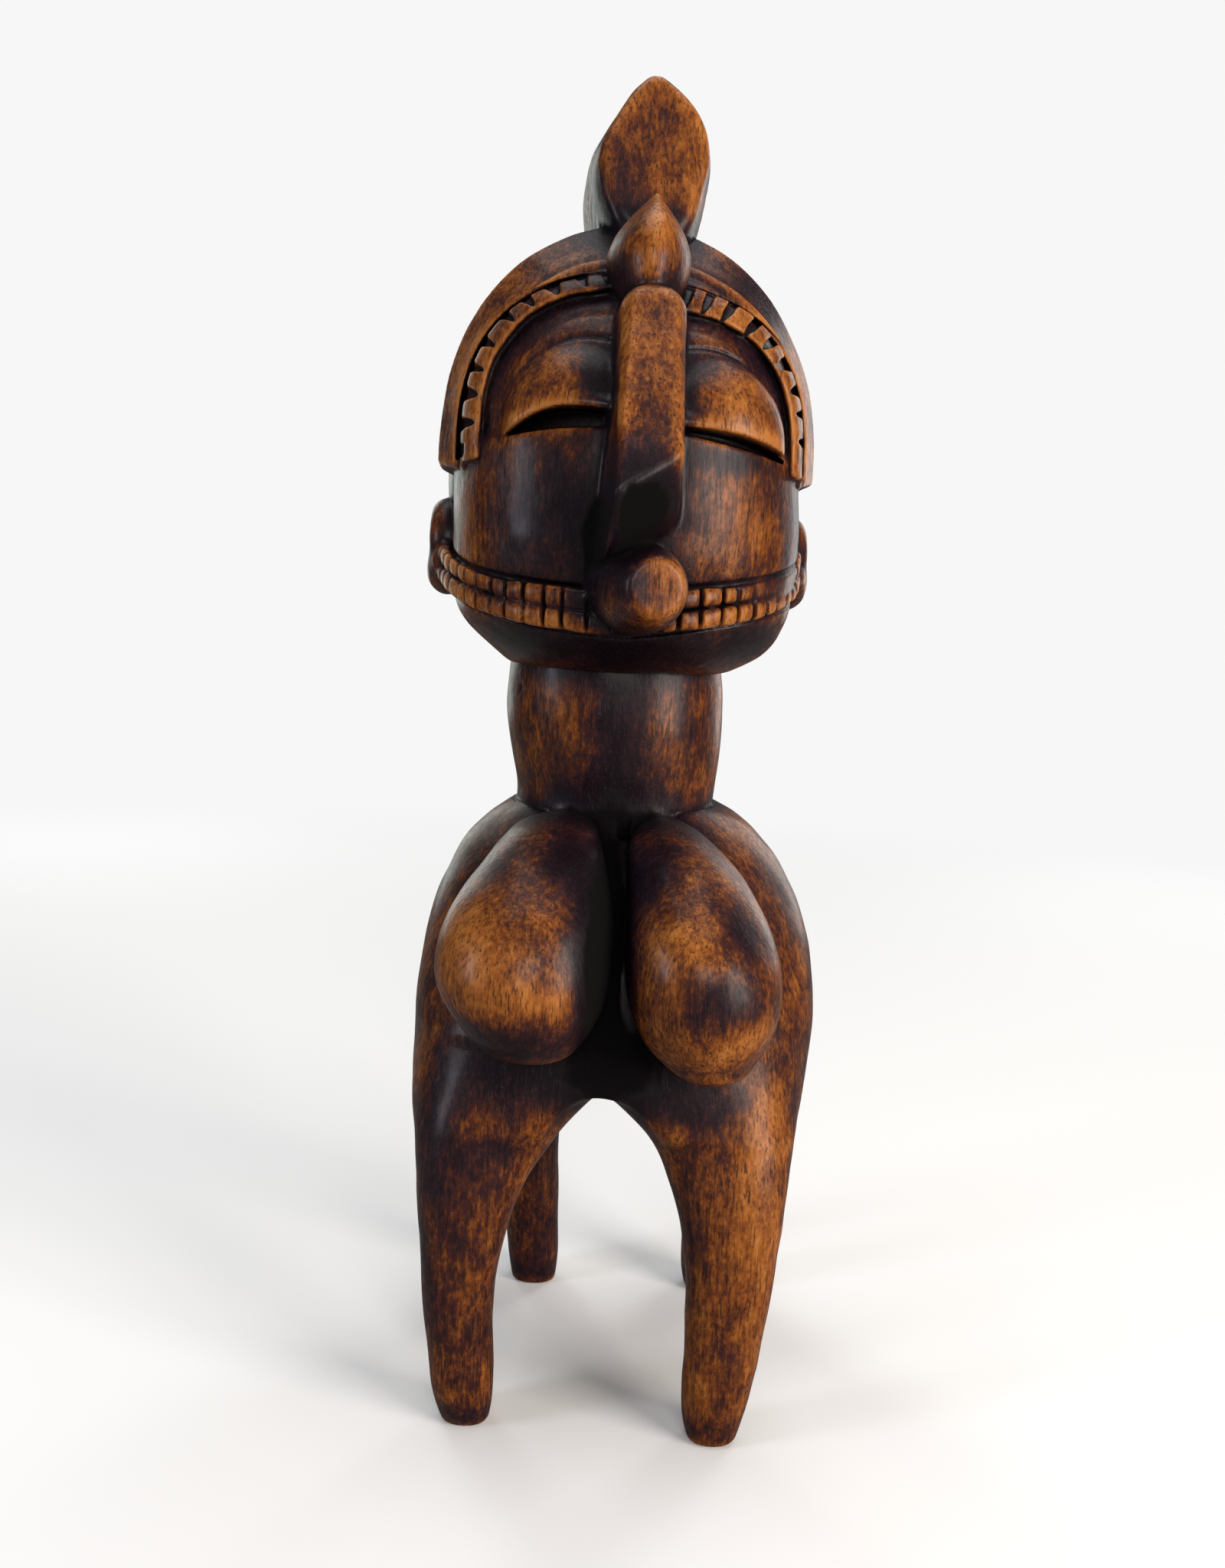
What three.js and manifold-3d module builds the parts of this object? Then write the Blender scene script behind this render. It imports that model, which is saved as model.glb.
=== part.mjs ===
// A carved wooden fertility figure: a four-legged shoulder yoke with breasts, a barrel neck and a large
// head with a hooked nose, crested hair, notched bands and a projecting mouth.
// Units are millimetres. +Z is up, the figure faces -Y, and the origin is the bottom centre of its box.
// The figure is carved from one billet. Each carved element is its own closed solid here, and the
// solids meet along the carver's creases with a small gap.

import * as THREE from "three";
import { mergeVertices } from "three/addons/utils/BufferGeometryUtils.js";
import Module from "manifold-3d";

const wasm = await Module();
wasm.setup();

// ---------------------------------------------------------------- driving dimensions

const GAP = 0.3; // space kept between two elements that meet
const FAR = 400; // half size of a cutting block, larger than the figure
const LEG_TOP = 100; // height at which the legs meet the yoke
const ARCH_CROWN = 104; // top of the arches between the legs
const HEAD_TURN = THREE.MathUtils.degToRad(4.5); // the head looks a little to its own left
const HEAD_SHIFT = -1.2; // the head stands this far off the yoke's own middle
const FACE_PLANE = -14; // the face lies in front of this plane, the cranium behind it
const JAW_TOP = 243; // height at which the chin meets the face
const BAND_HEIGHT = 242.5; // middle of the two jaw rows at the mouth
const BAND_RISE = 15.5; // how far the jaw rows climb towards the ears
const RIGHT_HITCH = 3.2; // how much higher they sit on the right
const ROW_HALF = 2.6; // half height of one jaw row
const NOTCH = 1.3; // width of the cuts between the carved blocks

const HONEY = new THREE.Color(0.42, 0.21, 0.08);
const DARK = new THREE.Color(0.12, 0.05, 0.04);

// ---------------------------------------------------------------- solids and meshes

// A closed three.js geometry as a solid that can be cut and joined.
function solidOf(geometry) {
  const bare = geometry.clone();
  bare.deleteAttribute("normal");
  bare.deleteAttribute("uv");
  const merged = mergeVertices(bare, 1e-4);
  return new wasm.Manifold(
    new wasm.Mesh({
      numProp: 3,
      vertProperties: merged.attributes.position.array,
      triVerts: new Uint32Array(merged.index.array),
    }),
  );
}

// A solid as a named mesh in one of the two wood colours.
function carved(name, solid, color = HONEY) {
  const { numProp, vertProperties, triVerts } = solid.getMesh();
  const position = new Float32Array((vertProperties.length / numProp) * 3);
  for (let i = 0; i < position.length / 3; i++)
    position.set(vertProperties.subarray(i * numProp, i * numProp + 3), i * 3);
  const geometry = new THREE.BufferGeometry();
  geometry.setAttribute("position", new THREE.BufferAttribute(position, 3));
  geometry.setIndex(new THREE.BufferAttribute(new Uint32Array(triVerts), 1));
  geometry.computeVertexNormals();
  const material = new THREE.MeshStandardMaterial({ color, roughness: 0.38, metalness: 0 });
  const mesh = new THREE.Mesh(geometry, material);
  mesh.name = name;
  return mesh;
}

// A skin stretched over rings. section(u) gives a ring's middle and its two half axes, a and b, for u from
// 0 to 1, and the rings travel along b x a. A power over 2 makes the ring squarer.
function skin(section, { around = 20, along = 10, power = 2 } = {}) {
  const geometry = new THREE.CylinderGeometry(1, 1, 1, around, along);
  const vertex = new THREE.Vector3();
  const places = geometry.attributes.position;
  const bulge = (c, square) => Math.sign(c) * Math.abs(c) ** (2 / square);
  for (let i = 0; i < places.count; i++) {
    vertex.fromBufferAttribute(places, i);
    const { at, a, b, power: square = power } = section(vertex.y + 0.5);
    const onRing = Math.hypot(vertex.x, vertex.z) > 0.5;
    const across = onRing ? bulge(vertex.x, square) : 0;
    const through = onRing ? bulge(vertex.z, square) : 0;
    const place = at.clone().addScaledVector(a, across).addScaledVector(b, through);
    places.setXYZ(i, place.x, place.y, place.z);
  }
  return solidOf(geometry);
}

// A form given by level slices, lowest first: [z, left x, right x, front y, back y, squareness].
function form(slices, { grow = 0, power = 2, ...options } = {}) {
  const smooth = (pick) =>
    new THREE.CatmullRomCurve3(slices.map(pick), false, "catmullrom", 0.5);
  const widths = smooth(([z, x0, x1]) => new THREE.Vector3(x0, x1, z));
  const depths = smooth(([z, , , y0, y1]) => new THREE.Vector3(y0, y1, z));
  const squareness = smooth(([z, , , , , square = power]) => new THREE.Vector3(square, 0, z));
  return skin((u) => {
    const w = widths.getPoint(u);
    const d = depths.getPoint(u);
    const lift = u === 0 ? -grow : u === 1 ? grow : 0;
    return {
      at: new THREE.Vector3((w.x + w.y) / 2, (d.x + d.y) / 2, w.z + lift),
      a: new THREE.Vector3((w.y - w.x) / 2 + grow, 0, 0),
      b: new THREE.Vector3(0, -(d.y - d.x) / 2 - grow, 0),
      power: squareness.getPoint(u).x,
    };
  }, options);
}

// A band that follows path(u) with its half thickness along outward(u) and its half width across it.
function band(path, outward, thick, wide, options) {
  const step = 1e-3;
  return skin((u) => {
    const travel = path(u + step).sub(path(u - step)).normalize();
    const out = outward(u);
    out.addScaledVector(travel, -out.dot(travel)).normalize();
    return {
      at: path(u),
      a: out.clone().multiplyScalar(thick),
      b: out.clone().cross(travel).multiplyScalar(wide),
    };
  }, { power: 3.2, around: 12, ...options });
}

// A block from one corner to the other, for splitting forms at a plane.
function block(low, high) {
  const size = new THREE.Vector3().subVectors(high, low);
  const geometry = new THREE.BoxGeometry(size.x, size.y, size.z);
  geometry.translate(...new THREE.Vector3().addVectors(low, high).multiplyScalar(0.5).toArray());
  return solidOf(geometry);
}
const above = (z) => block(new THREE.Vector3(-FAR, -FAR, z), new THREE.Vector3(FAR, FAR, FAR * 2));
const below = (z) => block(new THREE.Vector3(-FAR, -FAR, -FAR), new THREE.Vector3(FAR, FAR, z));
const inFrontOf = (y) => block(new THREE.Vector3(-FAR, -FAR, -FAR), new THREE.Vector3(FAR, y, FAR * 2));
const behind = (y) => block(new THREE.Vector3(-FAR, y, -FAR), new THREE.Vector3(FAR, FAR, FAR * 2));

// An ellipsoid at a place.
function ball(at, radii, segments = 20) {
  const geometry = new THREE.SphereGeometry(1, segments, segments * 0.6);
  geometry.rotateX(Math.PI / 2).scale(...radii).translate(...at);
  return solidOf(geometry);
}

const leftOf = (x) => block(new THREE.Vector3(-FAR, -FAR, -FAR), new THREE.Vector3(x, FAR, FAR * 2));
const rightOf = (x) => block(new THREE.Vector3(x, -FAR, -FAR), new THREE.Vector3(FAR, FAR, FAR * 2));
const joined = (solids) => solids.reduce((whole, next) => whole.add(next));
const cutBy = (solid, cutters) => cutters.reduce((left, cutter) => left.subtract(cutter), solid);

// The biggest body, without the slivers a cut can leave beside it.
const largest = (solid) =>
  solid.decompose().reduce((most, next) => (next.volume() > most.volume() ? next : most));

// ---------------------------------------------------------------- yoke and legs

const YOKE = [
  [92, -56.4, 61, -56, 56.5, 4],
  [104, -57.6, 64.2, -56.3, 57, 3.6],
  [116, -58.4, 66, -55, 56, 3.2],
  [130, -58.2, 65.8, -52.5, 54, 2.9],
  [145, -56.2, 63.8, -48.5, 51, 2.5],
  [160, -51, 58, -43, 46, 2.3],
  [173, -43.6, 49, -37, 40, 2.1],
  [181, -34.6, 39.8, -31, 35, 2],
  [187, -25, 28, -23, 27, 2],
];

// Each leg tapers from the yoke to a small flat foot. The hind pair stands nearer the middle on its left.
const LEGS = {
  leg_front_left: [
    [0, -41.5, -29.2, -49, -37.5],
    [5, -44.2, -27.8, -52.5, -36],
    [30, -48.3, -28.4, -55.5, -35.5],
    [55, -50.6, -26.4, -57, -34.5],
    [75, -52.4, -20, -57, -28],
    [90, -54.4, -10, -55.5, -16],
    [103, -54.8, 3, -53, 2],
    [116, -52, 10, -48, 10],
  ],
  leg_front_right: [
    [0, 32.5, 44.4, -55, -43],
    [5, 30, 46.9, -57, -41],
    [30, 28.8, 51.6, -58, -38],
    [55, 27.6, 55.2, -58, -35.5],
    [75, 23.2, 57, -57.5, -28],
    [90, 14.6, 59.4, -55.5, -16],
    [103, -1, 59.8, -53, 2],
    [116, -8, 58, -48, 10],
  ],
  leg_back_left: [
    [0, -27, -14, 40.5, 52.5],
    [5, -29, -12.4, 38.5, 54.5],
    [30, -32.6, -12.6, 36, 56.5],
    [55, -39.4, -13, 34, 57.5],
    [75, -50, -10, 27, 57.5],
    [90, -55, -5, 15, 56],
    [103, -56, 4, -2, 53.5],
    [116, -54, 10, -10, 48],
  ],
  leg_back_right: [
    [0, 36, 48.5, 39, 51.5],
    [5, 34, 50.5, 37, 53.5],
    [30, 33, 54, 35.5, 55.5],
    [55, 31, 57, 33.5, 57],
    [75, 24, 59, 27, 57],
    [90, 14, 60.5, 15, 56],
    [103, 0, 61, -2, 53.5],
    [116, -8, 58, -10, 48],
  ],
};
const ARCH = { middle: 70, halfFront: 26, halfSide: 30 }; // the arches between the legs

const BREAST_LEFT = [
  [118.8, -25, -13, -68, -56],
  [121, -31, -9.5, -76, -48],
  [125, -36, -6, -81.5, -44],
  [132, -41.5, -2, -86, -40],
  [140, -45.5, 0.5, -87.5, -38],
  [150, -46.5, 1.2, -86, -34],
  [162, -42.5, 0.5, -79, -30],
  [170, -36.5, -1, -70.5, -27],
  [177, -31, -2.5, -60.5, -25],
  [182, -25, -5, -51, -23],
  [184.5, -18, -9, -43, -23],
];
const BREAST_RIGHT = [
  [115, 26, 35, -68, -56],
  [117.3, 21.5, 39.5, -76, -48],
  [123, 14.5, 44, -81.5, -44],
  [133, 9, 48.5, -86.5, -40],
  [142, 7, 49.5, -87.5, -37],
  [153, 6.3, 47.5, -85, -33],
  [163, 6.2, 42.5, -77.5, -30],
  [171, 5.8, 37.2, -68.5, -27],
  [177.5, 5.4, 30.5, -59, -25],
  [181.5, 7.4, 24.5, -51, -23],
  [184, 11, 19, -43, -23],
];
const NECK = [
  [180, -31, 31.5, -29, 31],
  [187, -30.2, 32.2, -28.5, 31],
  [198, -32, 33.2, -30.5, 32.5],
  [213, -34.2, 33.6, -32, 34],
  [226, -33.6, 32.2, -31.5, 34],
  [234, -32, 30.5, -29.5, 32],
];

const legForm = (name, grow = 0) => form(LEGS[name], { grow, around: 16, along: 10, power: 2.5 });
const yokeForm = (grow = 0) => form(YOKE, { grow, around: 28, along: 8 });
const neckForm = (grow = 0) => form(NECK, { grow, around: 24, along: 6 });
const breastForm = (slices, grow = 0) => form(slices, { grow, along: 10, around: 18 });

// A round arch cut right through the yoke, front to back or side to side.
function archway(halfWidth, turn) {
  const geometry = new THREE.CylinderGeometry(1, 1, 1, 32);
  geometry.scale(halfWidth, FAR, ARCH_CROWN - ARCH.middle);
  geometry.rotateZ(turn).translate(1.5, 0, ARCH.middle);
  return solidOf(geometry);
}

function lowerBody() {
  const archways = [archway(ARCH.halfFront, 0), archway(ARCH.halfSide, Math.PI / 2)];
  const yoke = cutBy(yokeForm(), archways);
  const whole = joined([yoke, ...Object.keys(LEGS).map((name) => legForm(name))]);
  const torso = cutBy(whole.intersect(above(LEG_TOP + GAP / 2)), [
    neckForm(GAP),
    breastForm(BREAST_LEFT, GAP),
    breastForm(BREAST_RIGHT, GAP),
  ]);
  const legs = whole.intersect(below(LEG_TOP - GAP / 2)).decompose();
  // The four legs come apart in no set order, so each takes the name of the foot it stands on.
  const names = Object.keys(LEGS).map((name) => {
    const [, x0, x1, y0, y1] = LEGS[name][0];
    const foot = new THREE.Vector3((x0 + x1) / 2, (y0 + y1) / 2, 0);
    const distance = (leg) => {
      const { min, max } = leg.intersect(below(5)).boundingBox();
      return Math.hypot((min[0] + max[0]) / 2 - foot.x, (min[1] + max[1]) / 2 - foot.y);
    };
    return [name, legs.reduce((near, leg) => (distance(leg) < distance(near) ? leg : near))];
  });
  return [
    carved("torso", torso),
    ...names.map(([name, leg]) => carved(name, leg)),
    carved("breast_left", breastForm(BREAST_LEFT).subtract(neckForm(GAP))),
    carved("breast_right", breastForm(BREAST_RIGHT).subtract(neckForm(GAP))),
    carved("neck", neckForm()),
  ];
}

// ---------------------------------------------------------------- head

const HEAD = [
  [226, -31, 35, -36, 32],
  [232, -39.5, 44.5, -46, 40],
  [241, -48, 50, -54, 48],
  [252, -51, 51.5, -59, 54],
  [266, -52.5, 52.5, -61.5, 58],
  [282, -52.5, 52.5, -62, 60],
  [296, -52.5, 52.5, -60.5, 60],
  [310, -51, 51, -57.5, 57],
  [323, -47, 47, -52, 52],
  [335, -39.5, 39.5, -44, 44],
  [345, -29, 29, -33, 33],
  [352, -17, 17, -19, 20],
  [355, -7, 7, -8, 9],
];
const NOSE = [
  [264, -6.5, 6.5, -70, -56],
  [268, -8.8, 8.8, -77, -54],
  [274, -10, 10, -84, -52],
  [281, -10.2, 10.2, -88.5, -48],
  [292, -9.4, 9.4, -85.5, -45],
  [306, -8.2, 8.2, -78, -42],
  [319, -7.4, 7.4, -70, -38],
  [326, -6.8, 6.8, -64.5, -36],
  [330, -4.5, 4.5, -59, -36],
];
const FOREHEAD_KNOB = [
  [327, -4.5, 8, -54, -30],
  [331, -8, 10.6, -58.5, -28],
  [338, -10.6, 12.6, -59.5, -24],
  [345, -8.4, 11.4, -57, -22],
  [351, -4.2, 8.2, -51.5, -22],
  [357, 1.4, 3.8, -43, -24],
];
const CREST = [
  [296, -5, 5, 44, 61],
  [312, -8, 8, 34, 63],
  [330, -11, 11, 10, 61],
  [345, -14, 14.5, -24, 55],
  [354, -14.2, 17, -30, 49],
  [365, -15, 19.5, -31, 41],
  [375, -13.2, 20.4, -30.5, 31],
  [384, -9, 18, -28, 19],
  [391, -4.2, 12.6, -25, 7],
  [396.8, 1.4, 5.4, -19, -8],
];
const EYELID = { at: [-20.5, -49, 299], radii: [19, 15, 18], slit: 290.5, lean: 0.12 };
const MOUTH = { height: 249.6, radius: 12.6, tip: 8.4, from: -48, to: -81, turn: 0.07 };
const EAR = { at: [53, 6, 261], radius: 9.6, thick: 4, from: -2.2, sweep: 4.6 };
const RIM = { x: 49.5, z: 57.4, base: 288, y: -20, tilt: 0.34, square: 2.08, thick: 3.4, wide: 13 };
const HAIR = { x: 46.3, z: 43.2, base: 288, y: -38, lean: 2.5, square: 2.6, thick: 3.2, wide: 3.4 };
const HAIR_BLOCKS = 9; // notched blocks on each side of the forehead
const ROWS = { x: 51.5, front: 58.5, thick: 4.6, ends: 1.78, blocks: 32 };

const headForm = (grow = 0) => form(HEAD, { grow, around: 28, along: 14, power: 2.25 });
const noseForm = (grow = 0) => form(NOSE, { grow, around: 16, along: 10, power: 3 });
const knobForm = (grow = 0) => form(FOREHEAD_KNOB, { grow, around: 16, along: 8 });
const crestForm = (grow = 0) => form(CREST, { grow, around: 16, along: 12, power: 2.3 });

// The arch of the hair or of the rim behind it. angle 0 is level with the eyes on the right.
function archPoint({ x, z, base, y, lean = 0, square }, angle) {
  const squared = (c) => Math.sign(c) * Math.abs(c) ** (2 / square);
  const rise = squared(Math.sin(angle));
  return new THREE.Vector3(x * squared(Math.cos(angle)), y - lean * rise, base + z * rise);
}

// The arch stands out from the head, which turns forwards where the arch leans forwards.
function archOutward({ lean, tilt }, angle) {
  const rise = Math.sin(angle);
  const forwards = lean ? 0.35 + 0.4 * rise : tilt * (1 + rise);
  return new THREE.Vector3(Math.cos(angle), -forwards, rise * (lean ? 0.8 : 1)).normalize();
}

function arch(shape, from, to, grow = 0) {
  const angle = (u) => from + (to - from) * u;
  return band(
    (u) => archPoint(shape, angle(u)),
    (u) => archOutward(shape, angle(u)),
    shape.thick + grow,
    shape.wide + grow,
    { along: 12, around: 10 },
  );
}

// A point on the jaw rows' shared line: 0 is under the mouth and a quarter turn is beside the ear.
function rowPoint(angle, lift) {
  const hitch = RIGHT_HITCH * (1 - Math.exp(-2.6 * Math.max(angle, 0)));
  const z = BAND_HEIGHT + BAND_RISE * (1 - Math.cos(angle)) + hitch + lift;
  return new THREE.Vector3(ROWS.x * Math.sin(angle), -ROWS.front * Math.cos(angle), z);
}
const rowOutward = (angle) => new THREE.Vector3(Math.sin(angle), -Math.cos(angle), 0);

function jawRow(lift, grow = 0) {
  const angle = (u) => (2 * u - 1) * ROWS.ends;
  return band(
    (u) => rowPoint(angle(u), lift),
    (u) => rowOutward(angle(u)),
    ROWS.thick + grow,
    ROW_HALF + grow,
    { along: 16, around: 8 },
  );
}

// A thin blade that cuts one notch: it stands at a place, faces along the band and reaches inwards.
function blade(at, along, outward, depth, height) {
  const geometry = new THREE.BoxGeometry(NOTCH, depth, height);
  const third = along.clone().cross(outward);
  geometry.applyMatrix4(new THREE.Matrix4().makeBasis(along, outward, third).setPosition(at));
  return solidOf(geometry);
}

function jawRowNotches(lift) {
  const blades = [];
  for (let i = 1; i < ROWS.blocks; i++) {
    const angle = ((2 * i) / ROWS.blocks - 1) * ROWS.ends * 0.96;
    const out = rowOutward(angle);
    const travel = new THREE.Vector3(-out.y, out.x, 0);
    const at = rowPoint(angle, lift).addScaledVector(out, ROWS.thick);
    blades.push(blade(at, travel, out, 3, ROW_HALF * 4));
  }
  return blades;
}

function hairNotches(side) {
  const blades = [];
  const turned = (angle) => (side > 0 ? angle : Math.PI - angle);
  for (let i = 0; i < HAIR_BLOCKS; i++) {
    const angle = (i / HAIR_BLOCKS) * 1.34;
    const out = archOutward(HAIR, turned(angle));
    const travel = archPoint(HAIR, turned(angle + 0.02))
      .sub(archPoint(HAIR, turned(angle - 0.02)))
      .normalize();
    out.addScaledVector(travel, -out.dot(travel)).normalize();
    const at = archPoint(HAIR, turned(angle)).addScaledVector(out, HAIR.thick);
    blades.push(blade(at, travel, out, 3.4, HAIR.wide * 3));
  }
  return blades;
}

function eyelid(side) {
  const { at, radii, slit, lean } = EYELID;
  const dome = ball([side * -at[0], at[1], at[2]], radii, 22);
  const underside = new THREE.BoxGeometry(FAR, FAR, 60);
  underside.translate(0, 0, -30).rotateY(side * lean).translate(side * -at[0], 0, slit);
  return dome.subtract(solidOf(underside));
}

// The pursed mouth: a stub turned on an axis that points forwards.
function mouthForm(grow = 0) {
  const { height, radius, tip, from, to, turn } = MOUTH;
  const length = from - to + grow;
  const profile = [
    [0, 0],
    [radius + grow, 0],
    [radius + 0.4 + grow, length * 0.45],
    [radius - 0.4 + grow, length * 0.75],
    [radius - 2 + grow, length * 0.92],
    [tip + grow, length],
    [0, length + 0.8],
  ].map(([r, along]) => new THREE.Vector2(r, along));
  const geometry = new THREE.LatheGeometry(profile, 24);
  geometry.rotateX(Math.PI).rotateZ(turn).translate(0, from, height);
  return solidOf(geometry);
}

function earForm(side, grow = 0) {
  const { at, radius, thick, from, sweep } = EAR;
  const angle = (u) => from + sweep * u;
  const path = (u) =>
    new THREE.Vector3(
      side * at[0],
      at[1] + radius * Math.cos(angle(u)),
      at[2] + radius * 1.25 * Math.sin(angle(u)),
    );
  return band(path, () => new THREE.Vector3(side, 0, 0), thick + 1.5 + grow, thick + grow, {
    along: 14,
    power: 2,
  });
}

function head() {
  const whole = headForm();
  const grown = headForm(GAP);
  const turnBack = -THREE.MathUtils.radToDeg(HEAD_TURN);
  const neck = neckForm(GAP).translate([-HEAD_SHIFT, 0, 0]).rotate([0, 0, turnBack]);
  const rows = [jawRow(ROW_HALF + 0.2, GAP), jawRow(-ROW_HALF - 0.2, GAP)];
  const chin = whole.intersect(below(JAW_TOP - GAP / 2));
  const skull = whole.intersect(above(JAW_TOP + GAP / 2));
  const faceHalf = skull.intersect(inFrontOf(FACE_PLANE - GAP / 2));
  const backHalf = skull.intersect(behind(FACE_PLANE + GAP / 2));
  const sides = { left: -1, right: 1 };
  const heights = { upper: ROW_HALF + 0.2, lower: -ROW_HALF - 0.2 };

  const parts = [
    carved("chin", cutBy(chin, [...rows, neck]), DARK),
    carved("face", largest(cutBy(faceHalf, rows))),
    carved("cranium", largest(cutBy(backHalf, rows))),
    carved("mouth", mouthForm().subtract(grown)),
    carved("nose", noseForm().subtract(grown)),
    carved("forehead_knob", cutBy(knobForm(), [grown, noseForm(GAP), crestForm(GAP)])),
    carved("crest", crestForm().subtract(grown)),
  ];
  for (const [name, side] of Object.entries(sides)) {
    const [from, to] = side > 0 ? [-0.2, 1.36] : [Math.PI - 1.36, Math.PI + 0.2];
    const [rimFrom, rimTo] = side > 0 ? [-0.12, 1.5] : [Math.PI - 1.5, Math.PI + 0.12];
    const rim = cutBy(arch(RIM, rimFrom, rimTo), [grown, crestForm(GAP)]);
    const hair = largest(
      cutBy(arch(HAIR, from, to), [
        grown,
        arch(RIM, rimFrom, rimTo, GAP),
        knobForm(GAP),
        crestForm(GAP),
        ...hairNotches(side),
      ]),
    );
    parts.push(carved(`headdress_rim_${name}`, rim, DARK));
    parts.push(carved(`hair_band_${name}`, hair));
    parts.push(carved(`eyelid_${name}`, cutBy(eyelid(side), [grown, noseForm(GAP)])));
    const rimGrown = arch(RIM, rimFrom, rimTo, GAP);
    parts.push(carved(`ear_${name}`, cutBy(earForm(side), [grown, rimGrown, ...rows]), DARK));
    const half = side > 0 ? rightOf(0) : leftOf(0);
    for (const [height, lift] of Object.entries(heights)) {
      const row = cutBy(jawRow(lift), [mouthForm(GAP), ...jawRowNotches(lift)]);
      parts.push(carved(`jaw_row_${height}_${name}`, largest(row.intersect(half))));
    }
  }
  return parts;
}

// ---------------------------------------------------------------- the figure

const headGroup = new THREE.Group().add(...head());
headGroup.rotation.z = HEAD_TURN;
headGroup.position.x = HEAD_SHIFT;

const figure = new THREE.Group().add(...lowerBody(), headGroup);
figure.updateMatrixWorld(true);
const box = new THREE.Box3().setFromObject(figure, true);
figure.position.set(-(box.min.x + box.max.x) / 2, -(box.min.y + box.max.y) / 2, -box.min.z);

export default figure;
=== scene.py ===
"""A carved wooden fertility figure, sculpted as distance fields and meshed, one piece per carved element.

The figure is one block of wood, so neighbouring pieces share one continuous surface. Each field is in
millimetres in the carver's frame: +Z up, the figure facing -Y. The head has its own frame, which is turned.
"""

import math

import bpy
import numpy as np
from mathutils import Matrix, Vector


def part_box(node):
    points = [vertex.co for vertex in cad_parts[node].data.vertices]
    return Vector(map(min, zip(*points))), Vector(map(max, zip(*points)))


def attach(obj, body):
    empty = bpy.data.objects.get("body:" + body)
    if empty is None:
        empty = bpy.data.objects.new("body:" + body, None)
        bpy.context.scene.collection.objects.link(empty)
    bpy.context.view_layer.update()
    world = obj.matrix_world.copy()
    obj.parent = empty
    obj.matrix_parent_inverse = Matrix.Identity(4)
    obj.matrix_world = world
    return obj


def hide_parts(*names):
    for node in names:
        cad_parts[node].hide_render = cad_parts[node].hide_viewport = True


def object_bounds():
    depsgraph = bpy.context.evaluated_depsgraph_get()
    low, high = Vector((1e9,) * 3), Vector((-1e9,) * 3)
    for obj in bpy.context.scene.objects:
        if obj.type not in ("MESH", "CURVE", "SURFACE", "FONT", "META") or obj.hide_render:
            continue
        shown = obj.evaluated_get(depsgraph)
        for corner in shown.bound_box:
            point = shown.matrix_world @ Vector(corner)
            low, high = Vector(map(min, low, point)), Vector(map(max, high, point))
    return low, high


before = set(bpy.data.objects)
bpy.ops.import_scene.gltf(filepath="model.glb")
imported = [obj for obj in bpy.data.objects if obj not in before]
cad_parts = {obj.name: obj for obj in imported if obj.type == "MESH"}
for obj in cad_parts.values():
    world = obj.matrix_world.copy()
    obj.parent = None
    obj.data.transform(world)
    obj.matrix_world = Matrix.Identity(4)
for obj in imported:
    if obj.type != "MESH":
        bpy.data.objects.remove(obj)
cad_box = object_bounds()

import openvdb as vdb
from mathutils import Matrix, Vector

MM = 0.001
BODY_STEP = 0.9  # the size of a cell
HEAD_STEP = 0.6
HEAD_TURN = math.radians(4.5)
HEAD_SHIFT = -1.2

SHARP = 0.01  # how soft an edge is that has to stay sharp
FAR = 9.0  # a distance that counts as far from any surface
OUTSIDE = 3.0  # the distance that surrounds a piece's own grid
MARGIN = 6  # how far a window reaches past the form in it
HOLLOW_SCALES = ((1.2, 3), (3.2, 3), (9, 2))  # how wide the surface is blurred, and how many times

# The carver's frame is placed by the neck, which the CAD model holds whole.
NECK_MIDDLE = Vector((-0.37, 1.10, 0))
neck_low, neck_high = (Vector(corner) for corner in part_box("neck"))
PLACE = (neck_low + neck_high) / 2 - NECK_MIDDLE * MM
PLACE.z = cad_box[0][2]
BODY_FRAME = Matrix.Translation(PLACE) @ Matrix.Scale(MM, 4)
HEAD_FRAME = BODY_FRAME @ Matrix.Translation((HEAD_SHIFT, 0, 0)) @ Matrix.Rotation(HEAD_TURN, 4, "Z")

# ---------------------------------------------------------------- fields


class Grid:
    """A regular grid of points, low to high in steps. x, y and z broadcast against each other."""

    def __init__(self, low, high, step):
        self.low, self.step = np.array(low, float), step
        counts = np.ceil((np.array(high, float) - self.low) / step).astype(int) + 1
        self.shape = tuple(int(n) for n in counts)
        axes = [(lo + step * np.arange(n)).astype(np.float32) for lo, n in zip(self.low, counts)]
        self.x = axes[0][:, None, None]
        self.y = axes[1][None, :, None]
        self.z = axes[2][None, None, :]


def merge(a, b, soft):
    """The union of two forms, with a fillet about soft millimetres wide."""
    h = np.maximum(soft - np.abs(a - b), 0) / soft
    return np.minimum(a, b) - h * h * (soft / 4)


def cut(a, b, soft):
    """Form a without form b."""
    return -merge(-a, b, soft)


def both(a, b, soft):
    """What forms a and b share."""
    return -merge(-a, -b, soft)


def curve(knots, values, at):
    """A smooth curve through values at knots, level beyond its ends."""
    k, v = np.asarray(knots, float), np.asarray(values, float)
    slope = np.gradient(v, k)
    i = np.clip(np.searchsorted(k, at) - 1, 0, len(k) - 2)
    h = k[i + 1] - k[i]
    t = np.clip((at - k[i]) / h, 0, 1)
    rise = v[i + 1] - v[i]
    bend_a, bend_b = slope[i] * h - rise, rise - slope[i + 1] * h
    return v[i] + rise * t + t * (1 - t) * (bend_a * (1 - t) + bend_b * t)


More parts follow.
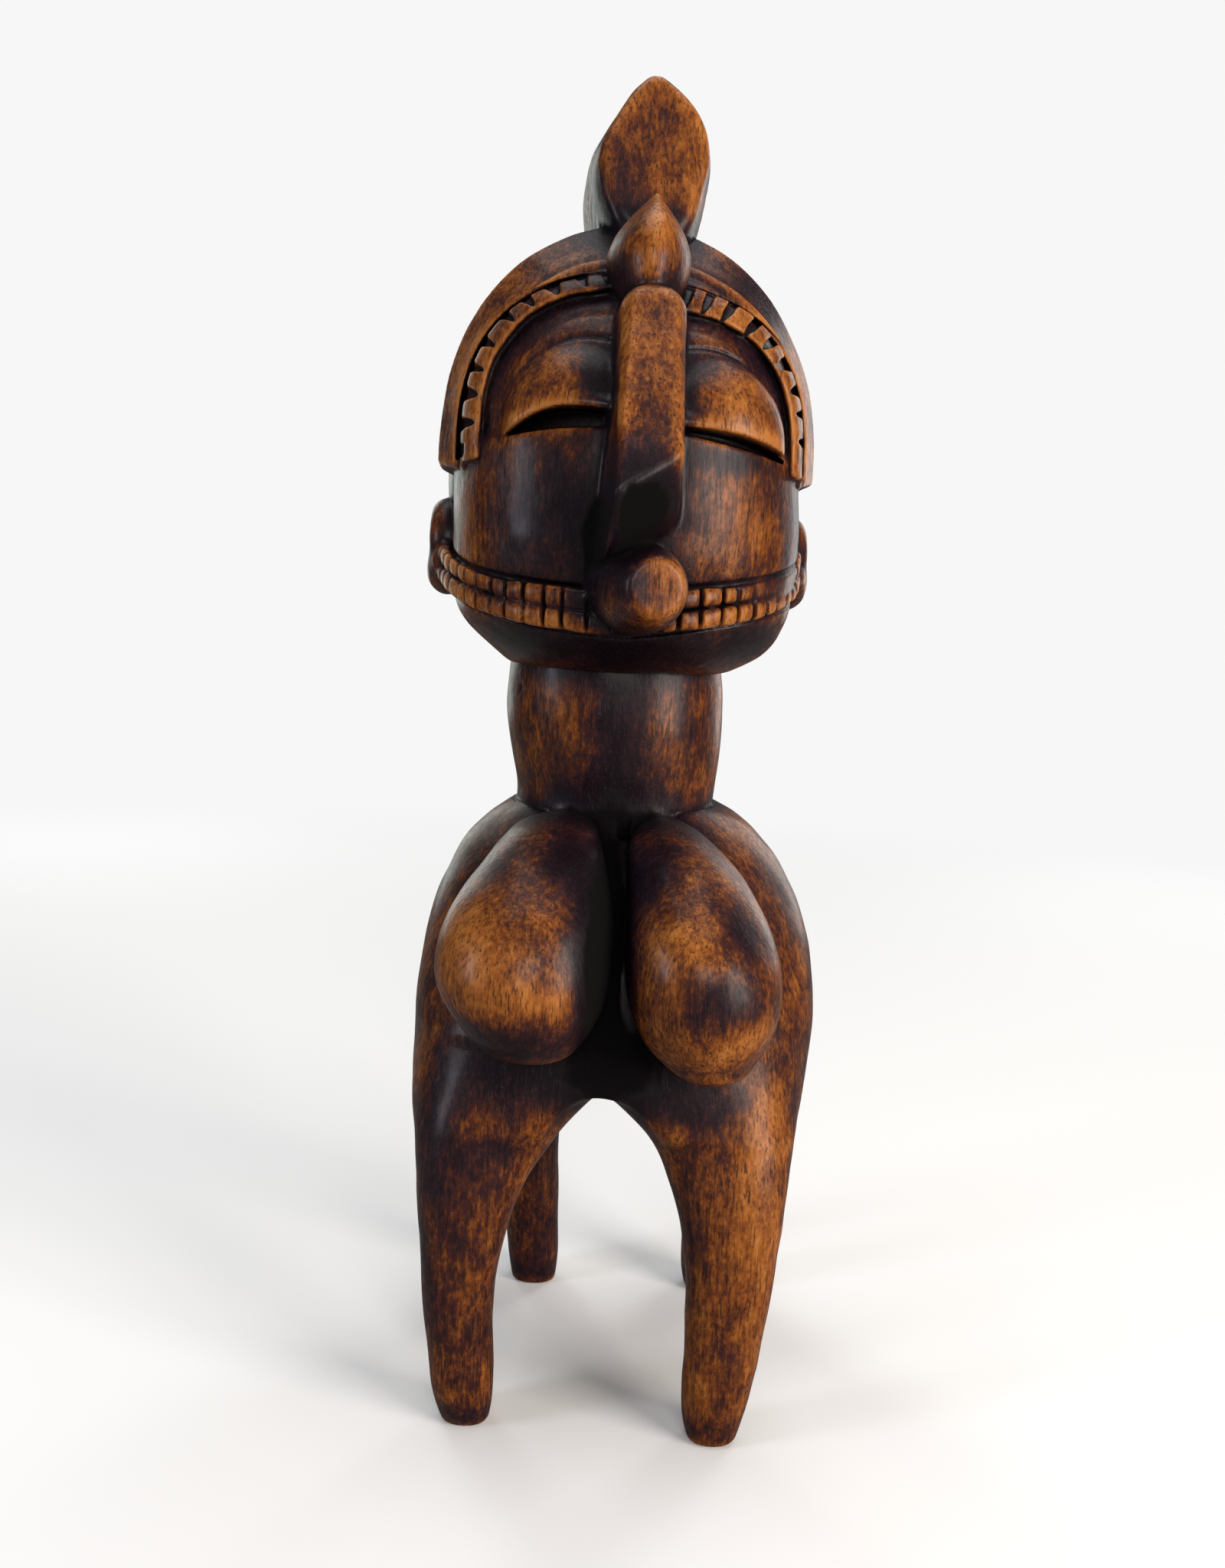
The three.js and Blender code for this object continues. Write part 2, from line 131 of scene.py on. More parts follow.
def oval(across, along, half_across, half_along, power):
    """How far a point lies outside an oval, which grows square as the power goes above 2."""
    ring = ((np.abs(across) / half_across)**power + (np.abs(along) / half_along)**power)**(1 / power)
    return np.hypot(across, along) * (1 - 1 / np.maximum(ring, 1e-3))


def loft(g, slices, power=2.0, soft=2.0):
    """A form given by level slices: z, left x, right x, front y, back y and perhaps squareness."""
    rows = np.array(slices, float)
    z = g.z.ravel()
    x0, x1, y0, y1 = (curve(rows[:, 0], rows[:, i], z).astype(np.float32) for i in (1, 2, 3, 4))
    square = curve(rows[:, 0], rows[:, 5], z).astype(np.float32) if rows.shape[1] > 5 else power
    side = oval(g.x - (x0 + x1) / 2, g.y - (y0 + y1) / 2, (x1 - x0) / 2, (y1 - y0) / 2, square)
    ends = np.maximum(rows[0, 0] - g.z, g.z - rows[-1, 0])
    return both(side, ends, soft)


def evened(d, step):
    """The same form with distances near its surface made true."""
    gx, gy, gz = np.gradient(d, step)
    return d / np.clip(np.sqrt(gx * gx + gy * gy + gz * gz), 0.35, 3)


def ball(g, at, radii):
    """An ellipsoid."""
    u, v, w = ((axis - c) / r for axis, c, r in zip((g.x, g.y, g.z), at, radii))
    reach = np.sqrt(u * u + v * v + w * w)
    slope = np.sqrt((u / radii[0])**2 + (v / radii[1])**2 + (w / radii[2])**2)
    return reach * (reach - 1) / np.maximum(slope, 1e-6)


def rod(g, start, end, radius, tip=None):
    """A round-ended rod, tapering to the tip's radius if one is given."""
    a, b = np.array(start, float), np.array(end, float)
    run = b - a
    t = ((g.x - a[0]) * run[0] + (g.y - a[1]) * run[1] + (g.z - a[2]) * run[2]) / (run @ run)
    t = np.clip(t, 0, 1)
    dx, dy, dz = (axis - a[i] - t * run[i] for i, axis in enumerate((g.x, g.y, g.z)))
    thick = radius if tip is None else radius + (tip - radius) * t
    return np.sqrt(dx * dx + dy * dy + dz * dz) - thick


def plane(g, at, outward):
    """Everything behind a plane."""
    n = np.array(outward, float)
    n /= np.linalg.norm(n)
    return (g.x - at[0]) * n[0] + (g.y - at[1]) * n[1] + (g.z - at[2]) * n[2]


def lattice_noise(g, size, seed):
    """Smooth noise from -1 to 1 whose swells are about size millimetres across."""
    rng = np.random.default_rng(seed)
    counts = [int(n * g.step / size) + 4 for n in g.shape]
    values = rng.uniform(-1, 1, counts).astype(np.float32)
    for axis, line in enumerate((g.x, g.y, g.z)):
        t = (line.ravel() - g.low[axis]) / size + 0.5
        i = t.astype(int)
        f = (t - i).astype(np.float32)
        f = f * f * (3 - 2 * f)
        shape = [1, 1, 1]
        shape[axis] = -1
        f = f.reshape(shape)
        values = np.take(values, i, axis) * (1 - f) + np.take(values, i + 1, axis) * f
    return values


def box_blur(values, reach):
    """The mean over a cube that reaches this many cells each way."""
    for axis in range(3):
        padded = np.concatenate(
            [np.repeat(np.take(values, [0], axis), reach + 1, axis), values,
             np.repeat(np.take(values, [-1], axis), reach, axis)], axis)
        total = np.cumsum(padded, axis, dtype=np.float32)
        span = 2 * reach + 1
        n = values.shape[axis]
        ahead = np.take(total, np.arange(span, span + n), axis)
        values = (ahead - np.take(total, np.arange(0, n), axis)) / span
    return values


def sample(values, points):
    """Values of a grid's array at fractional index points."""
    limit = np.array(values.shape) - 1.001
    p = np.clip(points, 0, limit)
    i = p.astype(int)
    f = p - i
    out = 0
    for corner in range(8):
        step = np.array([corner & 1, corner >> 1 & 1, corner >> 2])
        weight = np.prod(np.where(step, f, 1 - f), axis=1)
        out = out + weight * values[tuple((i + step).T)]
    return out


def growth(values, points, reach=0.7):
    """Which way values grow at fractional index points."""
    steps = np.eye(3) * reach
    return np.stack([sample(values, points + e) - sample(values, points - e) for e in steps], axis=1)


# ---------------------------------------------------------------- carvings and their pieces


class Carving:
    """Forms fused into one surface, each form known by the nodes it stands for."""

    def __init__(self, low, high, step, to_scene):
        self.grid = Grid(low, high, step)
        self.to_scene = to_scene
        self.form = np.full(self.grid.shape, FAR, np.float32)
        self.parts = {}

    def window(self, low=None, high=None):
        """The part of the grid between two corners, and its place in the whole."""
        g = self.grid
        first = [0] * 3 if low is None else ((np.array(low) - g.low) / g.step).astype(int)
        last = g.shape if high is None else np.ceil((np.array(high) - g.low) / g.step).astype(int)
        first, last = np.maximum(first, 0), np.minimum(last, g.shape)
        part = Grid(g.low + first * g.step, g.low + (last - 1) * g.step, g.step)
        part.x = g.x[first[0]:last[0]]
        part.y = g.y[:, first[1]:last[1]]
        part.z = g.z[:, :, first[2]:last[2]]
        part.shape = tuple(int(b - a) for a, b in zip(first, last))
        return part, tuple(slice(int(a), int(b)) for a, b in zip(first, last))

    def add(self, name, form, place, soft):
        """Fuses a form in, as the named piece."""
        form = form.astype(np.float32)
        self.form[place] = merge(self.form[place], form, soft)
        self.parts[name] = (form, place)

    def trim(self, form, place, soft):
        """Cuts a form out of everything there."""
        self.form[place] = cut(self.form[place], form, soft).astype(np.float32)

    def territories(self):
        """The distances to the nearest part and to the next one, at every point."""
        nearest = np.full(self.grid.shape, FAR, np.float32)
        second = nearest.copy()
        for form, place in self.parts.values():
            near = nearest[place]
            second[place] = np.minimum(second[place], np.maximum(near, form))
            nearest[place] = np.minimum(near, form)
        return nearest, second

    def hollows(self):
        """How deep each point lies in a hollow, at three scales: about 0 on the open surface."""
        solid = np.clip(0.5 - self.form / self.grid.step / 2, 0, 1)
        scales = []
        for width, times in HOLLOW_SCALES:
            reach = max(1, round(width / self.grid.step / 2))
            blurred = solid
            for _ in range(times):
                blurred = box_blur(blurred, reach)
            scales.append(blurred - 0.5)
        return scales

    def pieces(self, material, stain_shade_and_highlight_patches, dive=0.35, tongue=2.4):
        """Meshes every part. A piece ends in a tongue that dives under its neighbours."""
        nearest, second = self.territories()
        hollow = self.hollows()
        for name, (form, place) in self.parts.items():
            fused = self.form[place]
            other = np.where(form <= nearest[place] + 1e-4, second[place], nearest[place])
            beyond = (form - other) / 2
            field = np.maximum(fused + dive * np.maximum(beyond, 0), beyond - tongue)
            field = np.pad(field, 1, constant_values=OUTSIDE)
            points, quads = surface(field)
            index = points - 1
            start = np.array([s.start for s in place])
            whole = index + start
            local = whole * self.grid.step + self.grid.low
            hidden = sample(beyond, index) > 0.4
            normals = np.where(hidden[:, None], growth(field, points), growth(self.form, whole))
            normals /= np.maximum(np.linalg.norm(normals, axis=1, keepdims=True), 1e-6)
            piece = mesh_piece(name, local, quads, normals, self.to_scene)
            fine, middle, wide = (sample(values, whole) for values in hollow)
            add_attribute(piece, "hollow", fine)
            # The shader's darkening: the patches, plus painted shade that deepens with the hollows at the
            # middle and wide scales.
            add_attribute(piece, "stain_shade_and_highlight", patch_darkening(local, stain_shade_and_highlight_patches) + 2.2 * middle + 1.5 * wide)
            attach(piece, "root")
            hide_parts(name)
            piece.data.materials.append(material)


def patch_darkening(points, patches):
    """How much darker (above 0) or lighter (below 0) the patches leave each point: stain and wear, painted
    shade and painted highlights.
    """
    total = np.zeros(len(points))
    for x, y, z, rx, ry, rz, amount in patches:
        reach = ((points - (x, y, z)) / (rx, ry, rz))**2
        total += amount * np.exp(-1.6 * reach.sum(axis=1)**1.3)
    return total


def surface(field):
    """The zero surface of an array, its biggest body only, as points in cells and quads facing out."""
    grid = vdb.FloatGrid(OUTSIDE)
    grid.copyFromArray(np.ascontiguousarray(field), tolerance=0)
    points, quads = grid.convertToQuads(0.0)
    points, quads = points.astype(float), quads.astype(np.int64)
    body = np.arange(len(points))
    while True:
        low = body[quads].min(axis=1)
        after = body.copy()
        for corner in quads.T:
            np.minimum.at(after, corner, low)
        after = after[after]
        if np.array_equal(after, body):
            break
        body = after
    labels, counts = np.unique(body, return_counts=True)
    used = body == labels[counts.argmax()]
    quads = quads[used[quads[:, 0]]]
    number = np.cumsum(used) - 1
    points, quads = points[used], number[quads]
    a, b, c = (points[quads[:, i]] for i in range(3))
    facing = np.cross(b - a, c - b)
    middle = points[quads].mean(axis=1)
    length = np.maximum(np.linalg.norm(facing, axis=1, keepdims=True), 1e-9)
    outside = sample(field, middle + facing / length * 0.5) - sample(field, middle - facing / length * 0.5)
    return points, quads if outside.mean() > 0 else quads[:, ::-1]


def mesh_piece(name, points, quads, normals, to_scene):
    """A mesh object in the scene, shaded by the given normals."""
    mesh = bpy.data.meshes.new(name)
    mesh.from_pydata(points.tolist(), [], quads.tolist())
    mesh.transform(to_scene)
    mesh.shade_smooth()
    turned = normals @ np.array(to_scene.to_3x3().normalized()).T
    mesh.normals_split_custom_set_from_vertices(turned.tolist())
    piece = bpy.data.objects.new(name + "_carved", mesh)
    bpy.context.scene.collection.objects.link(piece)
    return piece


def add_attribute(piece, label, values):
    """A number at each point, which the wood's shader reads."""
    layer = piece.data.attributes.new(label, "FLOAT", "POINT")
    layer.data.foreach_set("value", np.asarray(values, np.float32))


# ---------------------------------------------------------------- the body

YOKE = [
    (92, -56.4, 61, -56, 56.5, 3.4),
    (104, -57.6, 64.2, -56, 57, 3.2),
    (116, -58.4, 66, -55, 56, 3.0),
    (130, -58.2, 65.8, -52.5, 54, 2.8),
    (145, -56.2, 63.8, -48.5, 51, 2.5),
    (160, -51, 58, -43, 46, 2.3),
    (173, -43.6, 49, -37, 40, 2.1),
    (181, -34.6, 39.8, -31, 35, 2),
    (187, -25, 28, -23, 27, 2),
]
LEGS = {
    "leg_front_left": [
        (0, -42.6, -28.4, -50.2, -36.6),
        (5, -44.2, -27.8, -52.5, -36),
        (30, -48.3, -28.4, -55.5, -35.5),
        (55, -50.6, -26.4, -57, -34.5),
        (75, -52.4, -20, -57, -28),
        (90, -54.4, -10, -55.5, -16),
        (103, -54.8, 3, -53, 2),
        (116, -52, 10, -48, 10),
    ],
    "leg_front_right": [
        (0, 31.2, 45.6, -56, -41.8),
        (5, 30, 46.9, -57, -41),
        (30, 28.8, 51.6, -58, -38),
        (55, 27.6, 55.2, -58, -35.5),
        (75, 23.2, 57, -57.5, -28),
        (90, 14.6, 59.4, -55.5, -16),
        (103, -1, 59.8, -53, 2),
        (116, -8, 58, -48, 10),
    ],
    "leg_back_left": [
        (0, -28, -13, 39.5, 53.5),
        (5, -29, -12.4, 38.5, 54.5),
        (30, -32.6, -12.6, 36, 56.5),
        (55, -39.4, -13, 34, 57.5),
        (75, -50, -10, 27, 57.5),
        (90, -57.5, -5, 15, 56),
        (103, -59, 4, -2, 53.5),
        (116, -56, 10, -10, 48),
    ],
    "leg_back_right": [
        (0, 35, 49.5, 38, 52.5),
        (5, 34, 50.5, 37, 53.5),
        (30, 33, 54, 35.5, 55.5),
        (55, 31, 57, 33.5, 57),
        (75, 24, 59, 27, 57),
        (90, 11, 61.5, 15, 56),
        (103, 0, 61, -2, 53.5),
        (116, -8, 57, -10, 48),
    ],
}
BODY_LOW, BODY_HIGH = (-70, -96, -4), (72, 66, 242)
LEG_TOP = 100
LEGS_MIDDLE = 1.5  # the plane between the left legs and the right ones
ARCH_SPRING, ARCH_RISE = 70, 34  # where the arches between the legs begin to curve, and how far they rise
BREAST_LEFT = [
    (118.8, -25, -13, -68, -56),
    (121, -31, -9, -76, -48),
    (125, -36, -5.2, -81.5, -44),
    (132, -41.5, -1, -86, -40),
    (140, -45.5, 1.5, -87.5, -38),
    (150, -46.5, 2.2, -86, -34),
    (162, -42.5, 1.3, -79, -30),
    (170, -36.5, -0.5, -70.5, -27),
    (177, -31, -2.5, -60.5, -25),
    (182, -25, -5, -51, -23),
    (184.5, -18, -9, -43, -23),
]
BREAST_RIGHT = [
    (115, 26, 35, -68, -56),
    (117.3, 21.5, 39.5, -76, -48),
    (123, 14.5, 44, -81.5, -44),
    (133, 8.2, 48.5, -86.5, -40),
    (142, 6, 49.5, -87.5, -37),
    (153, 5.3, 47.5, -85, -33),
    (163, 5.4, 42.5, -77.5, -30),
    (171, 5.4, 37.2, -68.5, -27),
    (177.5, 5.4, 30.5, -59, -25),
    (181.5, 7.4, 24.5, -51, -23),
    (184, 11, 19, -43, -23),
]
NECK = [
    (176, -31, 31.5, -29, 31),
    (187, -30.2, 32.2, -28.5, 31),
    (198, -32, 33.2, -30.5, 32.5),
    (213, -34.2, 33.6, -32, 34),
    (226, -33.6, 32.2, -31.5, 34),
    (236, -32, 30.5, -29.5, 32),
]


def arch(g, half_width, along_y):
    """An archway between two legs, which runs from front to back or from side to side."""
    level = g.x - LEGS_MIDDLE if along_y else g.y
    reach = np.hypot(level / half_width, (g.z - ARCH_SPRING) / ARCH_RISE)
    return (reach - 1) * 26


# Patches that darken or lighten the wood: dark stain and rubbed wear, and also painted shade in creases and
# under overhangs and painted highlights on lit rounds: middle, reach each way, amount.
BODY_STAINS_SHADE_AND_HIGHLIGHTS = [
    (2, -34, 182, 32, 16, 14, 1.2),  # the foot of the neck, painted shade where the breasts tuck under it
    (1, -34, 206, 10, 12, 26, 0.9),  # painted shade down the front of the neck
    (0, -32, 228, 44, 26, 8, 0.9),  # painted shade under the jaw
    (-23, -28, 211, 9, 14, 12, 0.1),
    (23, -28, 211, 9, 14, 13, 0.2),
    (0, -66, 150, 8, 34, 46, 1.9),  # painted shade between the breasts and over their inner tops
    (1, -48, 150, 5, 20, 44, 1.5),
    (-11, -60, 172, 9, 14, 14, 1.0),
    (12, -62, 172, 9, 14, 13, 0.7),
    (-26, -88, 148, 16, 14, 18, -0.4),  # the left breast, lighter: rubbed wood and painted highlight
    (-38, -72, 158, 12, 20, 16, -0.3),
    (-14, -88, 140, 8, 8, 10, -0.3),
    (-4, -74, 150, 7, 14, 24, 0.8),
    # painted shade under the left breast
    (-26, -82, 128, 20, 14, 9, 0.75),
    (-18, -88, 137, 9, 10, 6, 0.35),
    (22, -82, 160, 9, 16, 9, -0.45),  # the right breast, with its dark middle
    (30, -84, 143, 11, 12, 9, 0.6),
    (35, -74, 160, 9, 12, 10, 0.45),
    (16, -88, 146, 6, 10, 12, -0.25),
    (36, -84, 131, 12, 12, 9, -0.35),
    (-20, -52, 112, 40, 14, 14, 0.8),  # painted shade on the belly and the top of the arch
    (6, -52, 114, 20, 18, 18, 1.7),
    (30, -52, 104, 12, 10, 12, 0.35),
    (-50, -52, 104, 12, 12, 24, 0.4),  # the left flank and legs, darker: stain and painted shade on the side the lamps leave dim
    (-46, -50, 60, 16, 14, 40, 0.5),
    (-20, 46, 40, 18, 18, 70, 0.45),
    (-34, -54, 62, 10, 8, 30, -0.1),
    (-28, -50, 86, 10, 10, 12, 0.2),
    (46, -54, 66, 12, 10, 34, -0.45),  # the right leg
    (50, -50, 100, 9, 12, 16, -0.4),
    (29, -50, 76, 7, 10, 34, 0.4),
    (38, -48, 3, 16, 16, 8, 0.7),
    (-36, -46, 3, 16, 16, 8, 0.7),
    (-20, 46, 3, 16, 16, 8, 0.6),
    (42, 46, 3, 16, 16, 8, 0.6),
    (-45, -20, 176, 16, 24, 12, 0.2),  # the shoulders
    (50, -16, 150, 14, 26, 22, 0),
    (58, -20, 116, 10, 26, 18, 0.2),
]


def carve_body(material):
    """The torso on its four legs, with the breasts and the neck."""
    body = Carving(BODY_LOW, BODY_HIGH, BODY_STEP, BODY_FRAME)
    swell = 0.45 * lattice_noise(body.grid, 17, 3) + 0.16 * lattice_noise(body.grid, 6.5, 4)
    carve_torso(body, swell)
    carve_breasts(body, swell)
    carve_neck(body, swell)
    body.pieces(material, BODY_STAINS_SHADE_AND_HIGHLIGHTS)


def carve_torso(body, swell):
    """One form for the yoke and its legs, divided at the tops of the legs."""
    g, everywhere = body.window()
    yoke = evened(loft(g, YOKE, soft=4), g.step)
    yoke = cut(yoke, arch(g, 26, True), 5)
    yoke = cut(yoke, arch(g, 30, False), 5)
    whole = yoke
    for slices in LEGS.values():
        whole = merge(whole, loft(g, slices, power=2.3, soft=1.6), 7)
    torso = both(whole, LEG_TOP - g.z, SHARP)
    body.add("torso", torso + swell, everywhere, SHARP)
    body.form = (whole + swell).astype(np.float32)
    for name, slices in LEGS.items():
        x0, x1 = (BODY_LOW[0], LEGS_MIDDLE) if "left" in name else (LEGS_MIDDLE, BODY_HIGH[0])
        y0, y1 = (-60, 0) if "front" in name else (0, 62)
        w, place = body.window((x0, y0, BODY_LOW[2]), (x1, y1, LEG_TOP + MARGIN))
        own = both(whole[place], w.z - LEG_TOP, SHARP) + swell[place]
        body.parts[name] = (own.astype(np.float32), place)


def carve_breasts(body, swell):
    """The two breasts, a crease round each and the deep slot between them."""
    for name, slices in (("breast_left", BREAST_LEFT), ("breast_right", BREAST_RIGHT)):
        low = (min(row[1] for row in slices) - MARGIN, BODY_LOW[1], slices[0][0] - MARGIN)
        high = (max(row[2] for row in slices) + MARGIN, -14, slices[-1][0] + MARGIN)
        w, place = body.window(low, high)
        form = evened(loft(w, slices, power=2.05, soft=5), w.step) + swell[place] * 0.8
        crease = np.hypot(np.maximum(form, -9), body.form[place]) - 1.1
        body.add(name, form, place, 1.2)
        body.trim(crease, place, 1.6)
    w, place = body.window((-2, -62, 112), (10, -26, 186))
    slot = both(both(np.abs(w.x - 3.9) - 1.7, -(w.y + 33), 1.5), both(116 - w.z, w.z - 183, 1.5), 3)
    body.trim(slot, place, 2)


def carve_neck(body, swell):
    """The neck, a crease round its foot and a small nick in its side."""
    w, place = body.window((-42, -40, 168), (42, 44, BODY_HIGH[2]))
    neck = loft(w, NECK, power=2.1, soft=2) + swell[place] * 0.7
    crease = np.hypot(neck, body.form[place]) - 0.4
    body.add("neck", neck, place, 1.6)
    body.trim(crease, place, 0.8)
    nick = rod(w, (-29.5, -18, 219), (-31.5, -17, 214), 0.9, 0.5)
    body.trim(nick, place, 0.8)


# ---------------------------------------------------------------- the head

CRANIUM = [
    (226, -31, 35, -30, 32),
    (232, -39.5, 44.5, -30, 40),
    (241, -48.5, 50.5, -30, 48),
    (252, -52, 54, -30, 54),
    (266, -53.3, 55.3, -30, 58),
    (282, -54, 55.2, -30, 60),
    (296, -53.8, 53.8, -30, 60),
    (310, -52, 52, -30, 57),
    (323, -48.4, 48.4, -28, 52),
    (335, -41, 41, -26, 44),
    (345, -30.5, 30.5, -24, 33),
    (352, -18, 18, -16, 20),
    (355, -8, 8, -8, 9),
]
FACE = [
    (226, -31, 35, -36, 32),
    (232, -39.5, 44.5, -46, 40),
    (241, -48, 50, -54, 40),
    (252, -50.5, 52, -59, 40),
    (266, -51, 52.3, -61.5, 40),
    (282, -51.2, 51.2, -62, 40),
    (296, -50.8, 50.8, -60, 40),
    (310, -48.8, 48.8, -56.3, 40),
    (323, -43.5, 43.5, -49.5, 38),
    (333, -35.5, 35.5, -41, 32),
    (341, -25, 25, -30, 24),
    (346, -14, 14, -18, 14),
    (348, -6, 6, -8, 6),
]
FOREHEAD_KNOB = [
    (318, -4.5, 7.5, -54, -30),
    (325, -6, 8.6, -56.5, -30),
    (330, -8.4, 10.8, -59, -28),
    (338, -10.6, 12.6, -60, -24),
    (345, -8.4, 11.4, -57.5, -22),
    (351, -4.2, 8.2, -52, -22),
    (357, 1.4, 3.8, -43, -24),
]
CREST = [
    (296, -5, 5, 44, 61),
    (312, -8, 8, 34, 63),
    (330, -11, 11, 10, 61),
    (345, -8.8, 15, -24, 55),
    (354, -12.2, 18, -30, 49),
    (365, -15, 19.8, -31, 41),
    (375, -14, 20.6, -30.5, 31),
    (384, -9, 18, -28, 19),
    (391, -4.2, 12.6, -25, 7),
    (396.9, 1.4, 5.4, -19, -8),
]
HEAD_LOW, HEAD_HIGH = (-66, -96, 220), (66, 70, 402)
FACE_PLANE = -14  # where the face ends and the back of the head begins
JAW_TOP = 243
ROW_LEVEL = 242.5  # the jaw's rows at the mouth, and how far they rise by the ears
ROW_RISE = 15.5
HOOD_SPRING = 288  # where the arches of the hood and of the hairline begin to curve
HAIRLINE_LEFT, HAIRLINE_RIGHT = 45, 41.3  # how high the hairline rises on each side
SIDES = ((-1, "left"), (1, "right"))


def hairline(w, height):
    """How far a point lies outside the hairline's arch, seen from the front."""
    return oval(w.x, np.maximum(w.z - HOOD_SPRING, 0), 46.3, height, 2.6)


def notch_phase(u, pitch, drift):
    """Distance along u to the nearest of a row of knife cuts that are unevenly spaced."""
    t = u / pitch
    t = t + 0.07 * np.sin(2.3 * t + drift) + 0.04 * np.sin(5.1 * t + 2 * drift)
    return np.abs(t - np.round(t)) * pitch


# Patches on the head that darken or lighten the wood: stain and rubbed wear, and also painted shade under the
# nose, the lid and the chin and a painted highlight on the right cheek: middle, reach each way, amount.
HEAD_STAINS_SHADE_AND_HIGHLIGHTS = [
    (2, -30, 378, 13, 12, 20, -0.6),  # the crest's front
    (10, -30, 372, 10, 12, 16, -0.25),
    (-9, -30, 357, 8, 12, 12, 0.6),
    (8, -30, 350, 12, 12, 9, 0.2),
    (-13, -20, 366, 4, 14, 24, 0.4),
    (3, -58, 345, 7, 10, 8, -0.3),  # the bud
    (-8, -56, 333, 5, 10, 6, 0.55),
    (8, -58, 330, 4, 10, 6, 0.35),
    (0, -18, 352, 34, 18, 8, 0.65),  # the top of the hood
    (34, -20, 334, 20, 18, 14, 0.5),
    (-48, -18, 312, 10, 20, 26, -0.2),
    (-52, -20, 296, 8, 20, 12, 0.2),
    (-46, -38, 300, 4, 8, 16, 0.15),  # the hairline
    (-34, -40, 322, 9, 8, 8, 0.3),
    (38, -38, 318, 12, 10, 14, 0.3),
    (47, -36, 298, 4, 10, 16, 0.15),
    (-16, -42, 332, 16, 10, 6, 0.7),
    (14, -44, 328, 10, 10, 6, 0.35),
    (-32, -46, 318, 18, 10, 8, 0.35),  # the channel
    (30, -48, 312, 14, 8, 6, 0.3),
    (-28, -58, 300, 9, 10, 9, 0.2),  # the lids
    (-13, -60, 304, 6, 10, 14, 0.8),
    (24, -60, 301, 12, 10, 9, -0.25),
    (28, -58, 291, 16, 10, 4, -0.5),
    (14, -60, 309, 10, 8, 5, 0.3),
    (2, -74, 308, 7, 16, 24, -0.1),  # the bar of the nose
    (-6, -84, 280, 8, 16, 12, 0.7),
    (4, -88, 280, 5, 6, 6, 0.45),
    (11.5, -72, 302, 4, 16, 30, 0.7),
    # painted shade under the nose's tip
    (1, -86, 268, 15, 20, 11, 2.6),
    (-22, -58, 272, 19, 16, 20, 0.52),  # the dark left cheek
    (-48, -34, 266, 8, 22, 18, -0.3),
    (-34, -50, 258, 14, 12, 7, 0.2),
    # painted shade beside the foot of the nose
    (-11, -62, 262, 10, 12, 16, 0.9),
    (-6, -66, 262, 8, 18, 10, 1.6),
    (29, -56, 271, 13, 14, 14, -0.35),  # the right cheek, lighter: rubbed wood and painted highlight
    # a dark band under the right lid, painted shade
    (28, -58, 285, 22, 12, 4, 0.5),
    (22, -58, 252, 12, 12, 8, 0.15),
    (50, -34, 268, 7, 20, 20, 0.5),
    (5, -86, 250, 6, 6, 7, -0.6),  # the mouth's end, and its dark sides
    (-4, -66, 250, 13, 12, 15, 1.0),
    (-4, -84, 251, 6, 9, 9, 0.8),
    (-42, -46, 248, 18, 16, 7, 0.2),  # the rows
    (36, -54, 251, 18, 14, 7, 0.15),
    (-12, -62, 243, 11, 8, 7, 0.35),
    (0, -50, 231, 32, 24, 10, 0.95),  # the chin, darker: stain and painted shade on its underside
    (-34, -40, 234, 18, 18, 8, 0.5),
    (36, -40, 235, 18, 18, 8, 0.65),
    (-55, 4, 262, 8, 16, 16, 0.6),  # the ears
    (55, 4, 260, 8, 16, 16, 0.6),
]


def carve_head(material):
    """The skull in its three pieces, and everything that stands on it."""
    head = Carving(HEAD_LOW, HEAD_HIGH, HEAD_STEP, HEAD_FRAME)
    swell = 0.34 * lattice_noise(head.grid, 14, 11) + 0.12 * lattice_noise(head.grid, 5, 12)
    face = carve_skull(head, swell)
    lumps = lattice_noise(head.grid, 5.5, 21)
    for side, name in SIDES:
        carve_hood(head, side, name, swell)
        carve_hairline(head, side, name, face, swell, lumps)
    carve_crest(head, face, swell)
    for side, name in SIDES:
        carve_eye(head, side, name, face, swell)
    carve_rows(head, face, swell)
    for side, name in SIDES:
        carve_ear(head, side, name, face, swell)
    carve_nose(head, swell)
    carve_knob(head, swell)
    carve_mouth(head, swell)
    head.pieces(material, HEAD_STAINS_SHADE_AND_HIGHLIGHTS)


